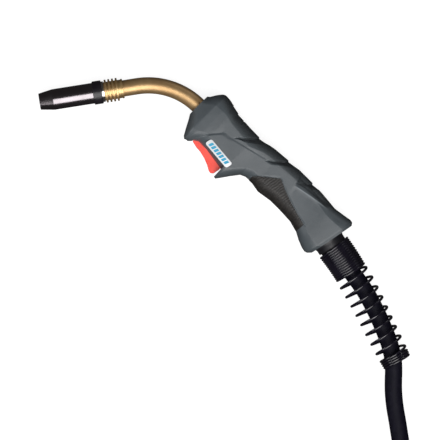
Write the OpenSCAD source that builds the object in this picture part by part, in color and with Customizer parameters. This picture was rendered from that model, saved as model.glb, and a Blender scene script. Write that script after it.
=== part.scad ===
// MIG welding torch: gas nozzle, brass swan neck, two-shell handle with a sprung trigger,
// ball-jointed bend spring, and a coiled power cable with a central-connector plug.
// Units are millimetres. The torch lies on its right side, so +Z is the torch's left side.
// The nozzle points along -X, and the handle runs down and back from the neck towards -Y.

/* [Nozzle] */
// Length of the metal nozzle body in front of the insulating ring
nozzle_len = 52.5; // [45:0.5:60]
// Outside diameter of the nozzle
nozzle_d = 20.2; // [19.6:0.1:22]
// Outside diameter at the nozzle's mouth
nozzle_tip_d = 15.8; // [14:0.1:18]
// Length of the nozzle's taper
nozzle_taper = 13.5; // [8:0.5:20]
// Outside diameter of the insulating ring
ring_d = 22.7; // [21:0.1:26]
// Length of the insulating ring
ring_len = 8.7; // [6:0.1:12]
// Wire bore of the contact tip
wire_bore_d = 1.2; // [0.8:0.2:1.6]

/* [Swan neck] */
// Outside diameter of the neck tube
neck_d = 15.9; // [15.5:0.1:16]
// Centreline radius of the neck's bend
neck_bend_r = 69.5; // [60:0.5:90]
// Angle of the neck's bend in degrees
neck_bend = 54; // [45:1:60]
// Length of the straight stretch between the cooling fins and the bend
neck_straight = 13.5; // [8:0.5:30]
// Outside diameter of the cooling fins
fin_d = 22.4; // [20:0.1:25]
// Distance from one cooling fin to the next
fin_pitch = 3.6; // [3:0.1:4.5]
// Number of full-size cooling fins
fin_count = 4; // [2:1:5]

/* [Handle] */
// Largest half thickness of the handle, side to middle
half_thick = 20; // [19.6:0.1:22]
// Wall thickness of the handle shells
wall = 2.6; // [2:0.1:3]
// Angle of the handle's rear face against a square cut, in degrees
rear_tilt = 11; // [8:1:14]
// Travel of the trigger in degrees
trigger_travel = 7; // [4:1:7]

/* [Ball joint and spring] */
// Radius of the ball
ball_r = 16; // [15.5:0.1:16]
// Radius of the smooth collar behind the ball
collar_r = 14.8; // [14:0.1:15]
// Diameter of the bend spring's wire
spring_wire = 2.3; // [1.8:0.1:2.3]
// Number of close-wound turns at the collar
close_turns = 12.75; // [10:0.25:14]
// Number of open turns
open_turns = 8.5; // [7:0.5:10]
// Number of close-wound turns at the spring's free end
end_turns = 3.5; // [2:0.25:5]

/* [Cable and plug] */
// Outside diameter of the power cable
cable_d = 17; // [16:0.1:17]
// Radius of the coil at the middle of its turns
coil_r = 95; // [90:1:98]
// Outside radius of the plug's union nut
nut_r = 25; // [24:0.1:25]
// Diameter of the plug's gas and wire spigot
spigot_d = 10; // [9:0.1:11]

/* [Hidden] */
$fn = 64;

// Middle of the torch's own outline, which becomes the origin
middle = [140.3, -99.1, -half_thick];
// Small gap between pieces of one assembly
gap = 0.05;

// Places along the nozzle's axis
ring_end = nozzle_len + ring_len;
head_start = ring_end + 2.2;
fins_start = head_start + 1;
head_end = fins_start + fin_pitch * fin_count + 3.2;
bend_start = head_end + neck_straight;
neck_end = [bend_start + neck_bend_r * sin(neck_bend), -neck_bend_r * (1 - cos(neck_bend))];
adaptor_start = 44;
sleeve_r = nozzle_d / 2 - 1.8;

// Handle outline in its own frame, x backwards along the neck's axis and y towards the back.
// The stations run from the front face to the rear face.
back_line = [[-1, 12.5], [1, 14], [4.5, 20], [8.5, 25], [11, 26.1], [17, 25.7], [24.5, 24.2],
    [32.5, 21.8], [41, 20.8], [50, 20.3], [61, 20.1], [70, 20.7], [81, 22.8], [95, 24], [113, 25.2],
    [128, 25.3], [143, 24.8], [160, 23], [176, 26], [178.8, 25.4], [181, 22.8]];
belly_line = [[-1, -11.5], [2, -16.5], [5.3, -23], [9.6, -31], [12, -33], [15.5, -31.8],
    [19.8, -27.6], [24, -25], [34.7, -25], [46, -26.7], [57.8, -28.6], [58.2, -38], [60.5, -38.4],
    [63.4, -34.5], [69, -26.5], [75, -18.7], [80, -16.4], [89, -16], [98.7, -17.7], [113, -15.4],
    [126, -15.3], [141, -16], [152, -18.7], [162, -23.2], [172, -26.5], [176, -27.2], [178.5, -26.4],
    [181, -23]];
side_line = [[-1, 12], [1, 13], [6, 16], [12, 18.2], [20, 19.6], [28, half_thick], [60, half_thick],
    [72, 19.2], [90, 18.4], [130, 18.4], [150, 19.2], [162, half_thick], [178, half_thick],
    [181, half_thick - 1.6]];
stations = [-1, 1, 3, 5.3, 8, 10, 12, 15.5, 19.8, 24, 30, 38, 46, 52, 57.8, 58.2, 60.5, 63.4, 66, 69,
    72, 75, 80, 89, 98.7, 113, 126, 141, 152, 162, 168, 172, 176, 178.6, 181];
arc_steps = 14;
hollow_start = 4;
hollow_end = 157;

// Trigger, switch and rear socket, in the handle's frame
pivot = [22.5, -21.4];
pin_d = 3;
slot_half = 9.2;
trigger_half = 8.6;
switch_at = 36;
spring_at = 49.6;
rear_centre = [180.8, -3.4];
ball_depth = 4;
collar_len = 6.8;
screw_places = [[15, 18.5], [66, -20.5], [62, 12.8], [104, 15], [161, 16.5], [160, -16]];
pad_edge = [[86, -14.5], [91.9, -7], [101.3, 0.2], [109, 6.2], [111.2, 5.9], [120.8, 1.8],
    [134.2, -2.8], [146.2, -6.2], [155, -9.2]];
pad_start = 84;
pad_finish = 153;
plate_centre = [45.9, -18.9];

// Ball joint in the torch's frame
rear_angle = neck_bend + rear_tilt;
face_point = on_handle(rear_centre);
ball_centre = face_point - ball_depth * [cos(rear_angle), -sin(rear_angle)];
bore_r = cable_d / 2 + gap;

// Spring axis, behind the collar
spring_route = [[258.6, -182.8, 0], [265.6, -196.7, -0.3], [271.9, -211.1, -0.8], [278.6, -228.7, -1.6],
    [285.2, -248.2, -2.8], [291.2, -268.2, -3.8], [297.6, -288.2, -4.6], [303.2, -305.7, -5.2]];

// Cable route from the ball to the coil, chosen by hand. It sags onto the bench.
cable_route = [[253.4, -173.3, 0], [258.1, -183.2, 0], [265.6, -197.2, 0], [272.6, -210.5, -0.4],
    [278.6, -222, -1.2], [283.8, -233.5, -2.2], [288, -245.5, -3.2], [291.4, -256.2, -4.2],
    [294.2, -267, -5], [296.8, -278, -5.6], [298.6, -289, -6], [299.1, -300, -6.5],
    [298, -311, -7.4], [296, -322, -8.6], [294.4, -334, -9.9], [293.8, -347, -11],
    [294, -360, -11.5], [294, -375, -11.5], [294, -395, -11.4], [294, -420, -11.2],
    [294, -445, -10.6], [294, -467, -10]];
cable_x = 294;
lane = 8.5;
coil_centre = [cable_x - coil_r - 2 * lane, -500];
strap_t = 1.6;
coil_h = 4 * lane;
tail_x = coil_centre[0] + coil_r;
tail_route = [[tail_x, -533, 7.1], [tail_x, -562, 7.1], [tail_x, -580, 6], [tail_x, -601, 5.2]];
plug_y = -590;

function on_handle(p) = neck_end + [p[0] * cos(neck_bend) + p[1] * sin(neck_bend),
    -p[0] * sin(neck_bend) + p[1] * cos(neck_bend)];
function along(table, x) = lookup(x, table);
function power(v, e) = sign(v) * pow(abs(v), e);

// One point of the handle's section at angle t, from -90 at the belly to 90 at the back
function handle_point(station, t, inset) =
    let (top = along(back_line, station) - inset, low = along(belly_line, station) + inset,
        side = along(side_line, station) - inset, mid = (top + low) / 2,
        e = station < 12 ? 0.95 - 0.025 * max(station, 0) : 0.65,
        y = mid + (top - low) / 2 * power(sin(t), e),
        lean = max(0, min(1, (station - 140) / 30)) * tan(rear_tilt))
    [station + lean * (y - rear_centre[1]), y, side * min(1, 1.05 * power(cos(t), e))];

function closed_faces(rings, sides) = concat(
    [for (i = [0 : rings - 2], j = [0 : sides - 1])
        [i * sides + j, i * sides + (j + 1) % sides, (i + 1) * sides + (j + 1) % sides, (i + 1) * sides + j]],
    [[for (j = [sides - 1 : -1 : 0]) j], [for (j = [0 : sides - 1]) (rings - 1) * sides + j]]);

// Smooth curve through hand-placed points
function curve_point(p, u) =
    let (n = len(p) - 1, i = min(n - 1, floor(u)), f = u - i,
        a = p[max(0, i - 1)], b = p[i], c = p[i + 1], d = p[min(n, i + 2)])
    0.5 * (2 * b + (c - a) * f + (2 * a - 5 * b + 4 * c - d) * f * f + (3 * b - 3 * c + d - a) * f * f * f);
function curve_dir(p, u) =
    let (e = 0.02, v = curve_point(p, min(len(p) - 1, u + e)) - curve_point(p, max(0, u - e))) v / norm(v);
function run(p, i) = i == 0 ? 0 : run(p, i - 1) + norm(p[i] - p[i - 1]);
function side_dir(t) = let (n = cross([0, 0, 1], t)) n / norm(n);

// Places: the torch's frame, the handle's, the ball's and the plug's
module in_frame() { translate(-[middle[0], middle[1], middle[2]]) children(); }
module at_handle() {
    in_frame() translate([neck_end[0], neck_end[1], 0]) rotate([0, 0, -neck_bend]) children();
}
module at_ball() {
    in_frame() translate([ball_centre[0], ball_centre[1], 0]) rotate([0, 0, -rear_angle]) children();
}
module at_plug() { in_frame() translate([tail_x, plug_y, 5.2]) rotate([0, 0, -90]) children(); }

// A turned piece: points are [radius, place along the axis]
module turned(points) { rotate([0, 90, 0]) rotate_extrude() polygon(points); }
module rod(x0, x1, r) { translate([x0, 0, 0]) rotate([0, 90, 0]) cylinder(h = x1 - x0, r = r); }
module cross_pin(p, z0, z1, r) { translate([p[0], p[1], z0]) cylinder(h = z1 - z0, r = r); }

// A round pipe that follows the neck from x on the nozzle's axis to a place inside the handle
module along_neck(x0, a1, r, r_in) {
    module ring() { difference() { circle(r); circle(r_in); } }
    union() {
        translate([x0, 0, 0]) rotate([0, 90, 0]) linear_extrude(bend_start - x0) ring();
        translate([bend_start, -neck_bend_r, 0]) rotate([0, 0, 90 - neck_bend])
            rotate_extrude(angle = neck_bend) translate([neck_bend_r, 0]) ring();
        translate([neck_end[0], neck_end[1], 0]) rotate([0, 0, -neck_bend]) rotate([0, 90, 0])
            linear_extrude(a1) ring();
    }
}

// A closed tube swept along a route
module swept_tube(route, r, sides, step) {
    n = floor((len(route) - 1) / step);
    points = [for (i = [0 : n], j = [0 : sides - 1])
        let (u = i * step, t = curve_dir(route, u), s = side_dir(t), w = cross(t, s), a = 360 * j / sides)
        curve_point(route, u) + r * (cos(a) * s + sin(a) * w)];
    polyhedron(points, closed_faces(n + 1, sides), convexity = 8);
}

// ---------------------------------------------------------------- nozzle end

module gas_nozzle() {
    color("dimgray") in_frame() turned([[6.3, 0], [nozzle_tip_d / 2, 0], [nozzle_d / 2, nozzle_taper],
        [nozzle_d / 2, nozzle_len], [9.3, nozzle_len], [9.3, ring_end - 0.6], [sleeve_r + 0.1, ring_end - 0.6],
        [sleeve_r + 0.1, 16], [6.3, 4]]);
}

module nozzle_ring() {
    color("black") in_frame() turned([[9.3, nozzle_len], [ring_d / 2 - 0.5, nozzle_len],
        [ring_d / 2, nozzle_len + 0.5], [ring_d / 2, ring_end - 0.4], [ring_d / 2 - 0.4, ring_end],
        [9.3, ring_end]]);
}

module nozzle_adaptor() {
    color("silver") in_frame() turned([[6.6, adaptor_start], [sleeve_r - 0.4, adaptor_start],
        [sleeve_r, adaptor_start + 0.4], [sleeve_r, 55], [sleeve_r - 0.8, 55], [sleeve_r - 0.8, 57],
        [sleeve_r, 57], [sleeve_r, ring_end + 0.1], [10, ring_end + 0.1], [10, head_start],
        [7.4, head_start], [7.4, head_start + 8], [6.6, head_start + 8]]);
}

module nozzle_clip() {
    color("silver") in_frame() translate([56, 0, 0]) rotate([0, 90, 0]) rotate([0, 0, 15])
        rotate_extrude(angle = 330) translate([sleeve_r - 0.35, 0]) circle(0.4);
}

module contact_tip() {
    color("peru") in_frame() turned([[wire_bore_d / 2, 4.5], [1.6, 4.5], [4, 8.5], [4, 25.9],
        [3, 25.9], [3, 32], [wire_bore_d / 2, 32]]);
}

module tip_holder() {
    color("goldenrod") in_frame() turned([[3 + gap, 26], [5, 26], [5, adaptor_start], [2.3, adaptor_start],
        [2.3, 38], [1.3, 38], [1.3, 33], [3 + gap, 33]]);
}

module gas_diffuser() {
    gas_holes = 8;
    color("white") in_frame() difference() {
        turned([[5 + gap, 29], [7.8, 29], [7.8, adaptor_start - gap], [5 + gap, adaptor_start - gap]]);
        for (i = [0 : gas_holes - 1])
            translate([36, 0, 0]) rotate([360 * (i + 0.25) / gas_holes, 0, 0])
                translate([0, 0, 3]) cylinder(h = 8, r = 1);
    }
}

module cooling_head() {
    root_r = 9;
    land = 1.8;
    fin_points = [for (i = [0 : fin_count - 1], k = [0 : 3])
        let (x = fins_start + fin_pitch * i)
        [k == 0 || k == 3 ? root_r : fin_d / 2, x + (k < 2 ? (k == 0 ? -0.2 : 0.1) : (k == 2 ? land - 0.1 : land + 0.2))]];
    color("goldenrod") in_frame() turned(concat([[7.5, head_start], [root_r, head_start]], fin_points,
        [[root_r, head_end - 1.8], [9.5, head_end - 1.6], [9.5, head_end - 0.2], [9.2, head_end],
        [neck_d / 2 + gap, head_end], [neck_d / 2 + gap, head_start + 9], [7.5, head_start + 9]]));
}

// ---------------------------------------------------------------- neck

module swan_neck() { color("goldenrod") in_frame() along_neck(head_start + 9.1, 19, neck_d / 2, 6.6); }
module neck_insulator() { color("ivory") in_frame() along_neck(adaptor_start + 1, 18.5, 6.5, 5.2); }
module current_tube() { color("peru") in_frame() along_neck(adaptor_start + 0.2, 25, 5.1, 2.4); }
module wire_liner() { color("lightgray") in_frame() along_neck(adaptor_start + 0.2, 26.5, 2.2, 1.2); }

module neck_socket() {
    color("darkgoldenrod") at_handle() difference() {
        turned([[neck_d / 2 + gap, 6], [10.5, 6], [10.5, 26], [9.5, 27], [2.3, 27], [2.3, 25.2],
            [5.2, 25.2], [5.2, 19.2], [neck_d / 2 + gap, 19.2]]);
        cross_pin([12, 0], 7, 12, 1.5);
    }
}

module power_terminal() {
    color("gold") at_handle() difference() {
        translate([27.1, 0, 0]) rotate([0, 90, 0]) cylinder(h = 12, r = 7.4, $fn = 6);
        rod(29, 45, 5);
    }
}

module power_lead() {
    color("black") at_handle() union() {
        rod(29.2, 41, 5 - gap);
        rod(39.3, 156, 6);
    }
}

// ---------------------------------------------------------------- handle

// Left half of the handle's outside, flat on the middle plane
module handle_half() {
    rings = [for (s = stations) [for (j = [0 : arc_steps]) handle_point(s, -90 + 180 * j / arc_steps, 0)]];
    polyhedron([for (ring = rings) each ring], closed_faces(len(stations), arc_steps + 1), convexity = 6);
}

// The hollow inside the shells, from behind the neck's hole to the ball socket
module handle_hollow() {
    hollow_stations = [for (s = stations) if (s > hollow_start && s < hollow_end) s];
    corners = 16;
    rings = [for (s = hollow_stations) [for (j = [0 : corners - 1])
        let (t = -90 + 360 * j / corners, q = handle_point(s, t > 90 ? 180 - t : t, wall))
        [q[0], q[1], t > 90 ? -q[2] : q[2]]]];
    polyhedron([for (ring = rings) each ring], closed_faces(len(hollow_stations), corners), convexity = 6);
}

module handle_shell() {
    difference() {
        handle_half();
        handle_hollow();
    }
}

// Everything that is cut from both shells
module handle_cuts() {
    rod(-5, 8, neck_d / 2 + gap);
    rod(5.5, 27.5, 10.6);
    translate([18.6, -45, -slot_half]) cube([39.4, 27, 2 * slot_half]);
    cross_pin(pivot, -11.3, 11.3, pin_d / 2 + 0.05);
    translate([rear_centre[0], rear_centre[1], 0]) rotate([0, 0, -rear_tilt]) translate([-ball_depth, 0, 0]) {
        sphere(ball_r + 0.1);
        intersection() {
            sphere(ball_r + 1.3);
            translate([-20, -20, -20]) cube([20, 40, 40]);
        }
        translate([2.2, 0, 0]) rotate([0, 90, 0]) cylinder(h = 3.6, r1 = ball_r - 0.1, r2 = ball_r + 0.9);
        rod(-31, 0, 11);
    }
}

module screw_posts() {
    for (p = screw_places) cross_pin(p, 0, half_thick - wall - 1.2, 3.4);
    // shelf that the trigger's spring pushes against
    translate([spring_at - 3.2, -17.1, 0]) cube([6.4, 2, half_thick - wall - 1.2]);
}

module handle_left() {
    color("slategray") at_handle() difference() {
        union() {
            handle_shell();
            screw_posts();
        }
        handle_cuts();
        for (p = screw_places) cross_pin(p, -1, 12, 1.6);
    }
}

module handle_right() {
    color("slategray") at_handle() difference() {
        mirror([0, 0, 1]) union() {
            handle_shell();
            screw_posts();
        }
        handle_cuts();
        for (p = screw_places) {
            cross_pin(p, -25, 1, 1.8);
            cross_pin(p, -25, -12, 3.3);
        }
    }
}

module handle_screws() {
    color("dimgray") at_handle() for (p = screw_places) difference() {
        union() {
            cross_pin(p, -12, 9.5, 1.55);
            cross_pin(p, -14.4, -12, 3.1);
        }
        translate([p[0], p[1], -15]) cylinder(h = 2, r = 1.5, $fn = 6);
    }
}

// The soft insert under the grip, from the middle of the belly up to pad_edge
module grip_pad() {
    pad_steps = 8;
    pad_stations = [for (s = stations) if (s > pad_start && s < pad_finish) s];
    all = concat([pad_start + 2], pad_stations, [pad_finish]);
    function edge_angle(s) =
        let (top = along(back_line, s), low = along(belly_line, s), y = along(pad_edge, s),
            v = (y - (top + low) / 2) / ((top - low) / 2))
        asin(power(v, 1 / 0.65));
    loop = [for (s = all) concat(
        [for (j = [0 : pad_steps]) handle_point(s, -90 + (edge_angle(s) + 90) * j / pad_steps, -0.5)],
        [for (j = [pad_steps : -1 : 0]) handle_point(s, -90 + (edge_angle(s) + 90) * j / pad_steps, 0.8)])];
    polyhedron([for (ring = loop) each ring], closed_faces(len(all), 2 * pad_steps + 2), convexity = 6);
}

module grip_pad_left() { color("dimgray") at_handle() grip_pad(); }
module grip_pad_right() { color("dimgray") at_handle() mirror([0, 0, 1]) grip_pad(); }

module name_plate() {
    plate_l = 31;
    plate_w = 7.5;
    corner = 2;
    color("white") at_handle() translate([plate_centre[0], plate_centre[1], half_thick - 1.6])
        rotate([0, 0, -4.8]) linear_extrude(1.9) union() {
            square([plate_l - 2 * corner, plate_w], center = true);
            square([plate_l, plate_w - 2 * corner], center = true);
            for (sx = [-1, 1], sy = [-1, 1])
                translate([sx * (plate_l / 2 - corner), sy * (plate_w / 2 - corner)]) circle(corner);
        }
}

// ---------------------------------------------------------------- trigger and switch

module trigger() {
    side = [[19.8, -28.4], [25.8, -29.8], [31.6, -30.2], [38.8, -31.9], [45.6, -34.6], [50.7, -37.5],
        [53.2, -37.9], [55.6, -36.3], [56.9, -30], [56.9, -24.5], [45, -21.4], [29, -21.4], [27, -19.2],
        [20.4, -19.2], [19.3, -21], [19.3, -25]];
    color("tomato") at_handle() difference() {
        translate([0, 0, -trigger_half]) linear_extrude(2 * trigger_half) polygon(side);
        cross_pin(pivot, -20, 20, pin_d / 2 + 0.05);
        translate([spring_at, -25.5, 0]) rotate([-90, 0, 0]) cylinder(h = 8, r = 3.4);
    }
}

module trigger_pin() { color("silver") at_handle() cross_pin(pivot, -11, 11, pin_d / 2); }

module trigger_spring() {
    coils = 5;
    spring_r = 2.6;
    wire_r = 0.35;
    y0 = -25;
    height = 7.6;
    sides = 6;
    steps = coils * 12;
    points = [for (i = [0 : steps], j = [0 : sides - 1])
        let (a = 360 * i / 12, b = 360 * j / sides, r = spring_r + wire_r * cos(b))
        [spring_at + r * cos(a), y0 + height * i / steps + wire_r * sin(b), r * sin(a)]];
    color("silver") at_handle() polyhedron(points, [for (f = closed_faces(steps + 1, sides))
        [for (k = [len(f) - 1 : -1 : 0]) f[k]]], convexity = 10);
}

module micro_switch() {
    color("black") at_handle() difference() {
        translate([27.4, -18.6, -3.2]) cube([18.6, 10.3, 6.4]);
        translate([switch_at, -19, 0]) rotate([-90, 0, 0]) cylinder(h = 5, r = 1.3);
        for (x = [30.5, 42.5]) cross_pin([x, -11.5], -5, 5, 1.2);
    }
}

module switch_plunger() {
    color("red") at_handle() translate([switch_at, 0, 0]) union() {
        translate([0, -20.2, 0]) sphere(r = 1.2);
        translate([0, -20.2, 0]) rotate([-90, 0, 0]) cylinder(h = 3.8, r = 1.2);
    }
}

module switch_leads() {
    color("gray") at_handle() for (z = [-2, 2]) translate([0, -10.5, z]) rod(46.1, 150, 0.9);
}

// ---------------------------------------------------------------- ball joint and spring

module ball_liner() {
    color("dimgray") at_ball() difference() {
        sphere(ball_r + 1.2);
        sphere(ball_r + 0.1);
        translate([-3.3, -25, -25]) cube([40, 50, 50]);
        translate([-40 - 12, -25, -25]) cube([40, 50, 50]);
    }
}

module ball_collar() {
    spigot_end = 34;
    color("black") at_ball() difference() {
        union() {
            intersection() {
                sphere(ball_r);
                translate([-12, -20, -20]) cube([25, 40, 40]);
            }
            rod(5, ball_depth + collar_len, collar_r);
            rod(ball_depth + collar_len - 1, spigot_end, 13);
        }
        rod(-1, spigot_end + 1, bore_r);
        translate([-12.5, 0, 0]) rotate([0, 90, 0]) cylinder(h = 12.6, r1 = 11, r2 = bore_r);
    }
}

module bend_spring() {
    per_turn = 12;
    sides = 6;
    close_pitch = spring_wire + 0.06;
    open_pitch = 10.5;
    first = 1.2;
    turns = close_turns + open_turns + end_turns;
    steps = floor(turns * per_turn);
    distances = [for (i = [0 : len(spring_route) - 1]) [run(spring_route, i), i]];
    function travel(n) = first + min(n, close_turns) * close_pitch
        + max(0, min(n - close_turns, open_turns)) * open_pitch
        + max(0, n - close_turns - open_turns) * close_pitch;
    function coil_radius(n) = lookup(n, [[0, 16], [close_turns, 15.4], [close_turns + 0.7, 15.9],
        [turns - end_turns, 14], [turns, 13.3]]);
    points = [for (i = [0 : steps], j = [0 : sides - 1])
        let (n = i / per_turn, u = along(distances, travel(n)), t = curve_dir(spring_route, u),
            s = side_dir(t), w = cross(t, s), a = 360 * n, out = cos(a) * s + sin(a) * w,
            b = 360 * j / sides)
        curve_point(spring_route, u) + (coil_radius(n) + spring_wire / 2 * cos(b)) * out
            + spring_wire / 2 * sin(b) * t];
    color("black") in_frame() polyhedron(points, closed_faces(steps + 1, sides), convexity = 20);
}

// ---------------------------------------------------------------- cable

module power_cable() { color("black") in_frame() swept_tube(cable_route, cable_d / 2, 10, 0.5); }
module cable_tail() { color("black") in_frame() swept_tube(tail_route, cable_d / 2, 10, 0.5); }

module coil_section(grow) {
    near = coil_r - 3 * lane - grow;
    far = coil_r + 3 * lane + grow;
    step_r = coil_r + lane + grow;
    step_z = strap_t + 2 * lane + grow;
    polygon([[near, strap_t - grow], [far, strap_t - grow], [far, step_z], [step_r, step_z],
        [step_r, strap_t + coil_h + grow], [near, strap_t + coil_h + grow]]);
}

module at_coil() { in_frame() translate([coil_centre[0], coil_centre[1], -half_thick]) children(); }

module cable_coil() { color("black") at_coil() rotate_extrude() coil_section(0); }

module cable_straps() {
    strap_w = 12;
    color("dimgray") at_coil() for (a = [82, 290]) rotate([0, 0, a - strap_w / 2])
        rotate_extrude(angle = strap_w) difference() {
            coil_section(strap_t);
            coil_section(0);
        }
}

// ---------------------------------------------------------------- plug

module plug_boot() {
    ribs = 5;
    rib_points = [for (i = [0 : ribs - 1], k = [0 : 3])
        let (x = 8 + 5 * i, r = 11 + 0.8 * i) [k == 0 || k == 3 ? r : r + 1.2, x + [0, 0.6, 2.6, 3.2][k]]];
    color("black") at_plug() turned(concat([[bore_r, 3], [10, 3]], rib_points,
        [[15, 33.5], [15, 46], [bore_r, 46]]));
}

module plug_cover() {
    intersection() {
        turned([[15.1, 34], [17.5, 34], [19.5, 38], [19.5, 60], [18, 64], [18, 72], [20, 76], [20, 84],
            [16.6, 84], [16.6, 46.2], [15.1, 46.2]]);
        translate([0, -30, 0]) cube([120, 60, 30]);
    }
}

module plug_cover_top() {
    color("dimgray") at_plug() difference() {
        plug_cover();
        for (y = [-17.9, 17.9]) translate([68, y, 0]) cylinder(h = 9, r = 1.1, center = true);
    }
}
module plug_cover_base() {
    color("dimgray") at_plug() difference() {
        mirror([0, 0, 1]) plug_cover();
        for (y = [-17.9, 17.9]) translate([68, y, 0]) cylinder(h = 9, r = 1.1, center = true);
    }
}

module plug_screws() {
    color("silver") at_plug() for (y = [-17.9, 17.9])
        translate([68, y, 0]) cylinder(h = 8, r = 1.05, center = true);
}

module plug_body() {
    color("gold") at_plug() difference() {
        turned([[8.5, 56], [14, 56], [14, 74], [16.5, 74], [16.5, 88], [19.8, 88], [19.8, 90.5],
            [16.4, 90.5], [16.4, 110], [12.4, 110], [12.4, 82], [8.5, 82]]);
        translate([70, 0, 5]) cylinder(h = 12, r = 1.6);
    }
}

module plug_insert() {
    color("black") at_plug() difference() {
        rod(82.1, 110.6, 12.35);
        rod(80, 112, spigot_d / 2 + gap);
        for (y = [-8.4, 8.4]) translate([0, y, 0]) rod(86, 112, 1.95);
    }
}

module gas_spigot() {
    color("gold") at_plug() turned([[1.6, 58], [8.4, 58], [8.4, 81.8], [spigot_d / 2 - 0.9, 81.8],
        [spigot_d / 2 - 0.9, 119.5], [spigot_d / 2, 119.5], [spigot_d / 2, 127.3], [spigot_d / 2 - 1.35, 127.3], [spigot_d / 2 - 1.35, 128.7],
        [spigot_d / 2, 128.7], [spigot_d / 2, 131], [4, 132], [1.6, 132]]);
}

module spigot_seals() {
    color("black") at_plug() translate([128, 0, 0]) rotate([0, 90, 0])
        rotate_extrude() translate([spigot_d / 2 - 0.65, 0]) circle(0.65);
}

module control_pins() {
    color("gold") at_plug() for (y = [-8.4, 8.4]) translate([0, y, 0]) union() {
        rod(92, 117, 1.9);
        translate([117, 0, 0]) sphere(r = 1.9);
    }
}

module plug_nut() {
    grips = 18;
    color("dimgray") at_plug() difference() {
        turned([[16.8, 85], [22, 85], [nut_r, 89], [nut_r, 112], [nut_r - 1, 113.5], [21.5, 113.5],
            [20.2, 112.5], [20.2, 87.6], [16.8, 87.6]]);
        for (i = [0 : grips - 1]) rotate([360 * (i + 0.5) / grips, 0, 0])
            translate([0, 0, nut_r + 1.2]) rod(88, 108, 2.2);
    }
}

gas_nozzle();
nozzle_ring();
nozzle_adaptor();
nozzle_clip();
contact_tip();
tip_holder();
gas_diffuser();
cooling_head();
swan_neck();
neck_insulator();
current_tube();
wire_liner();
neck_socket();
power_terminal();
power_lead();
handle_left();
handle_right();
handle_screws();
grip_pad_left();
grip_pad_right();
name_plate();
trigger();
trigger_pin();
trigger_spring();
micro_switch();
switch_plunger();
switch_leads();
ball_liner();
ball_collar();
bend_spring();
power_cable();
cable_coil();
cable_tail();
cable_straps();
plug_boot();
plug_cover_top();
plug_cover_base();
plug_screws();
plug_body();
plug_insert();
gas_spigot();
spigot_seals();
control_pins();
plug_nut();
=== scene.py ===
import math

import bmesh
import bpy
import numpy as np
from mathutils import Matrix, Vector


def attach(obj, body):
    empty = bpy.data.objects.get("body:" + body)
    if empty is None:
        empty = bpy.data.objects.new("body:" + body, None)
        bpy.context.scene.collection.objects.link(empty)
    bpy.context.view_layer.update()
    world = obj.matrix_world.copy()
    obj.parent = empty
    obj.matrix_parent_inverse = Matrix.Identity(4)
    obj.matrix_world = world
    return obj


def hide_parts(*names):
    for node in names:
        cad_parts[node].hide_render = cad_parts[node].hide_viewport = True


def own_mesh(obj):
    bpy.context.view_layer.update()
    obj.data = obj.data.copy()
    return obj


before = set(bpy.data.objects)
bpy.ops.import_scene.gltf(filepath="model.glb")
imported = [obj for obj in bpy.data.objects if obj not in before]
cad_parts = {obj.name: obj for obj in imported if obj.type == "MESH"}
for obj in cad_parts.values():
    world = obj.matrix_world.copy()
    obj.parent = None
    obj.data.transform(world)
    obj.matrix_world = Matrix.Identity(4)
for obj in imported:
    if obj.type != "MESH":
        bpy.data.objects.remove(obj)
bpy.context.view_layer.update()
scene = bpy.context.scene
scene.view_settings.view_transform = "Standard"

# ------------------------------------------------------------------ places
# Torch frame in mm: x from the nozzle's mouth, y up the side view, z from the middle plane.
MIDDLE = np.array([140.3, -99.1, -20.0])
NECK_BEND = math.radians(54)
NECK_END = np.array([151.727, -28.649])


def row(p):
    """Torch frame in mm to the row frame in metres."""
    return (np.asarray(p, float) - MIDDLE) / 1000


def handle(a, b, z=0.0):
    """Handle frame in mm to the row frame in metres."""
    c, s = math.cos(NECK_BEND), math.sin(NECK_BEND)
    return row([NECK_END[0] + a * c + b * s, NECK_END[1] - a * s + b * c, z])


def lookup(table, x):
    """Height of a line of (x, y) points over x."""
    t = np.asarray(table, float)
    return np.interp(x, t[:, 0], t[:, 1])


def smooth(x, lo, hi):
    """Rises from 0 at lo to 1 at hi with level ends."""
    t = np.clip((x - lo) / (hi - lo), 0, 1)
    return t * t * (3 - 2 * t)


def catmull(points, n):
    """A smooth curve through given points, n samples a span."""
    p = np.asarray(points, float)
    out = []
    for i in range(len(p) - 1):
        a, b, c, d = p[max(0, i - 1)], p[i], p[i + 1], p[min(len(p) - 1, i + 2)]
        for f in np.arange(n) / n:
            out.append(0.5 * (2 * b + (c - a) * f + (2 * a - 5 * b + 4 * c - d) * f ** 2
                              + (3 * b - 3 * c + d - a) * f ** 3))
    out.append(p[-1])
    return np.array(out)


# ------------------------------------------------------------------ camera
cam_data = bpy.data.cameras.new("view")
cam = bpy.data.objects.new("view", cam_data)
scene.collection.objects.link(cam)
ROLL = math.radians(-9)  # the camera is turned a little about its own axis
right = Vector((math.cos(ROLL), math.sin(ROLL), 0))
up = Vector((-math.sin(ROLL), math.cos(ROLL), 0))
CAM_DIST = 5.0
FRAME_W = 0.4259  # metres across the picture at the torch's middle plane
SENSOR = 36
aim = Vector((0.01427, -0.04132, 0.02))
cam.matrix_world = Matrix.Translation(aim + Vector((0, 0, CAM_DIST))) @ Matrix((
    (right.x, up.x, 0, 0), (right.y, up.y, 0, 0), (0, 0, 1, 0), (0, 0, 0, 1)))
cam_data.sensor_width = SENSOR
cam_data.lens = SENSOR * CAM_DIST / FRAME_W
cam_data.clip_end = 20
scene.camera = cam


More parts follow.
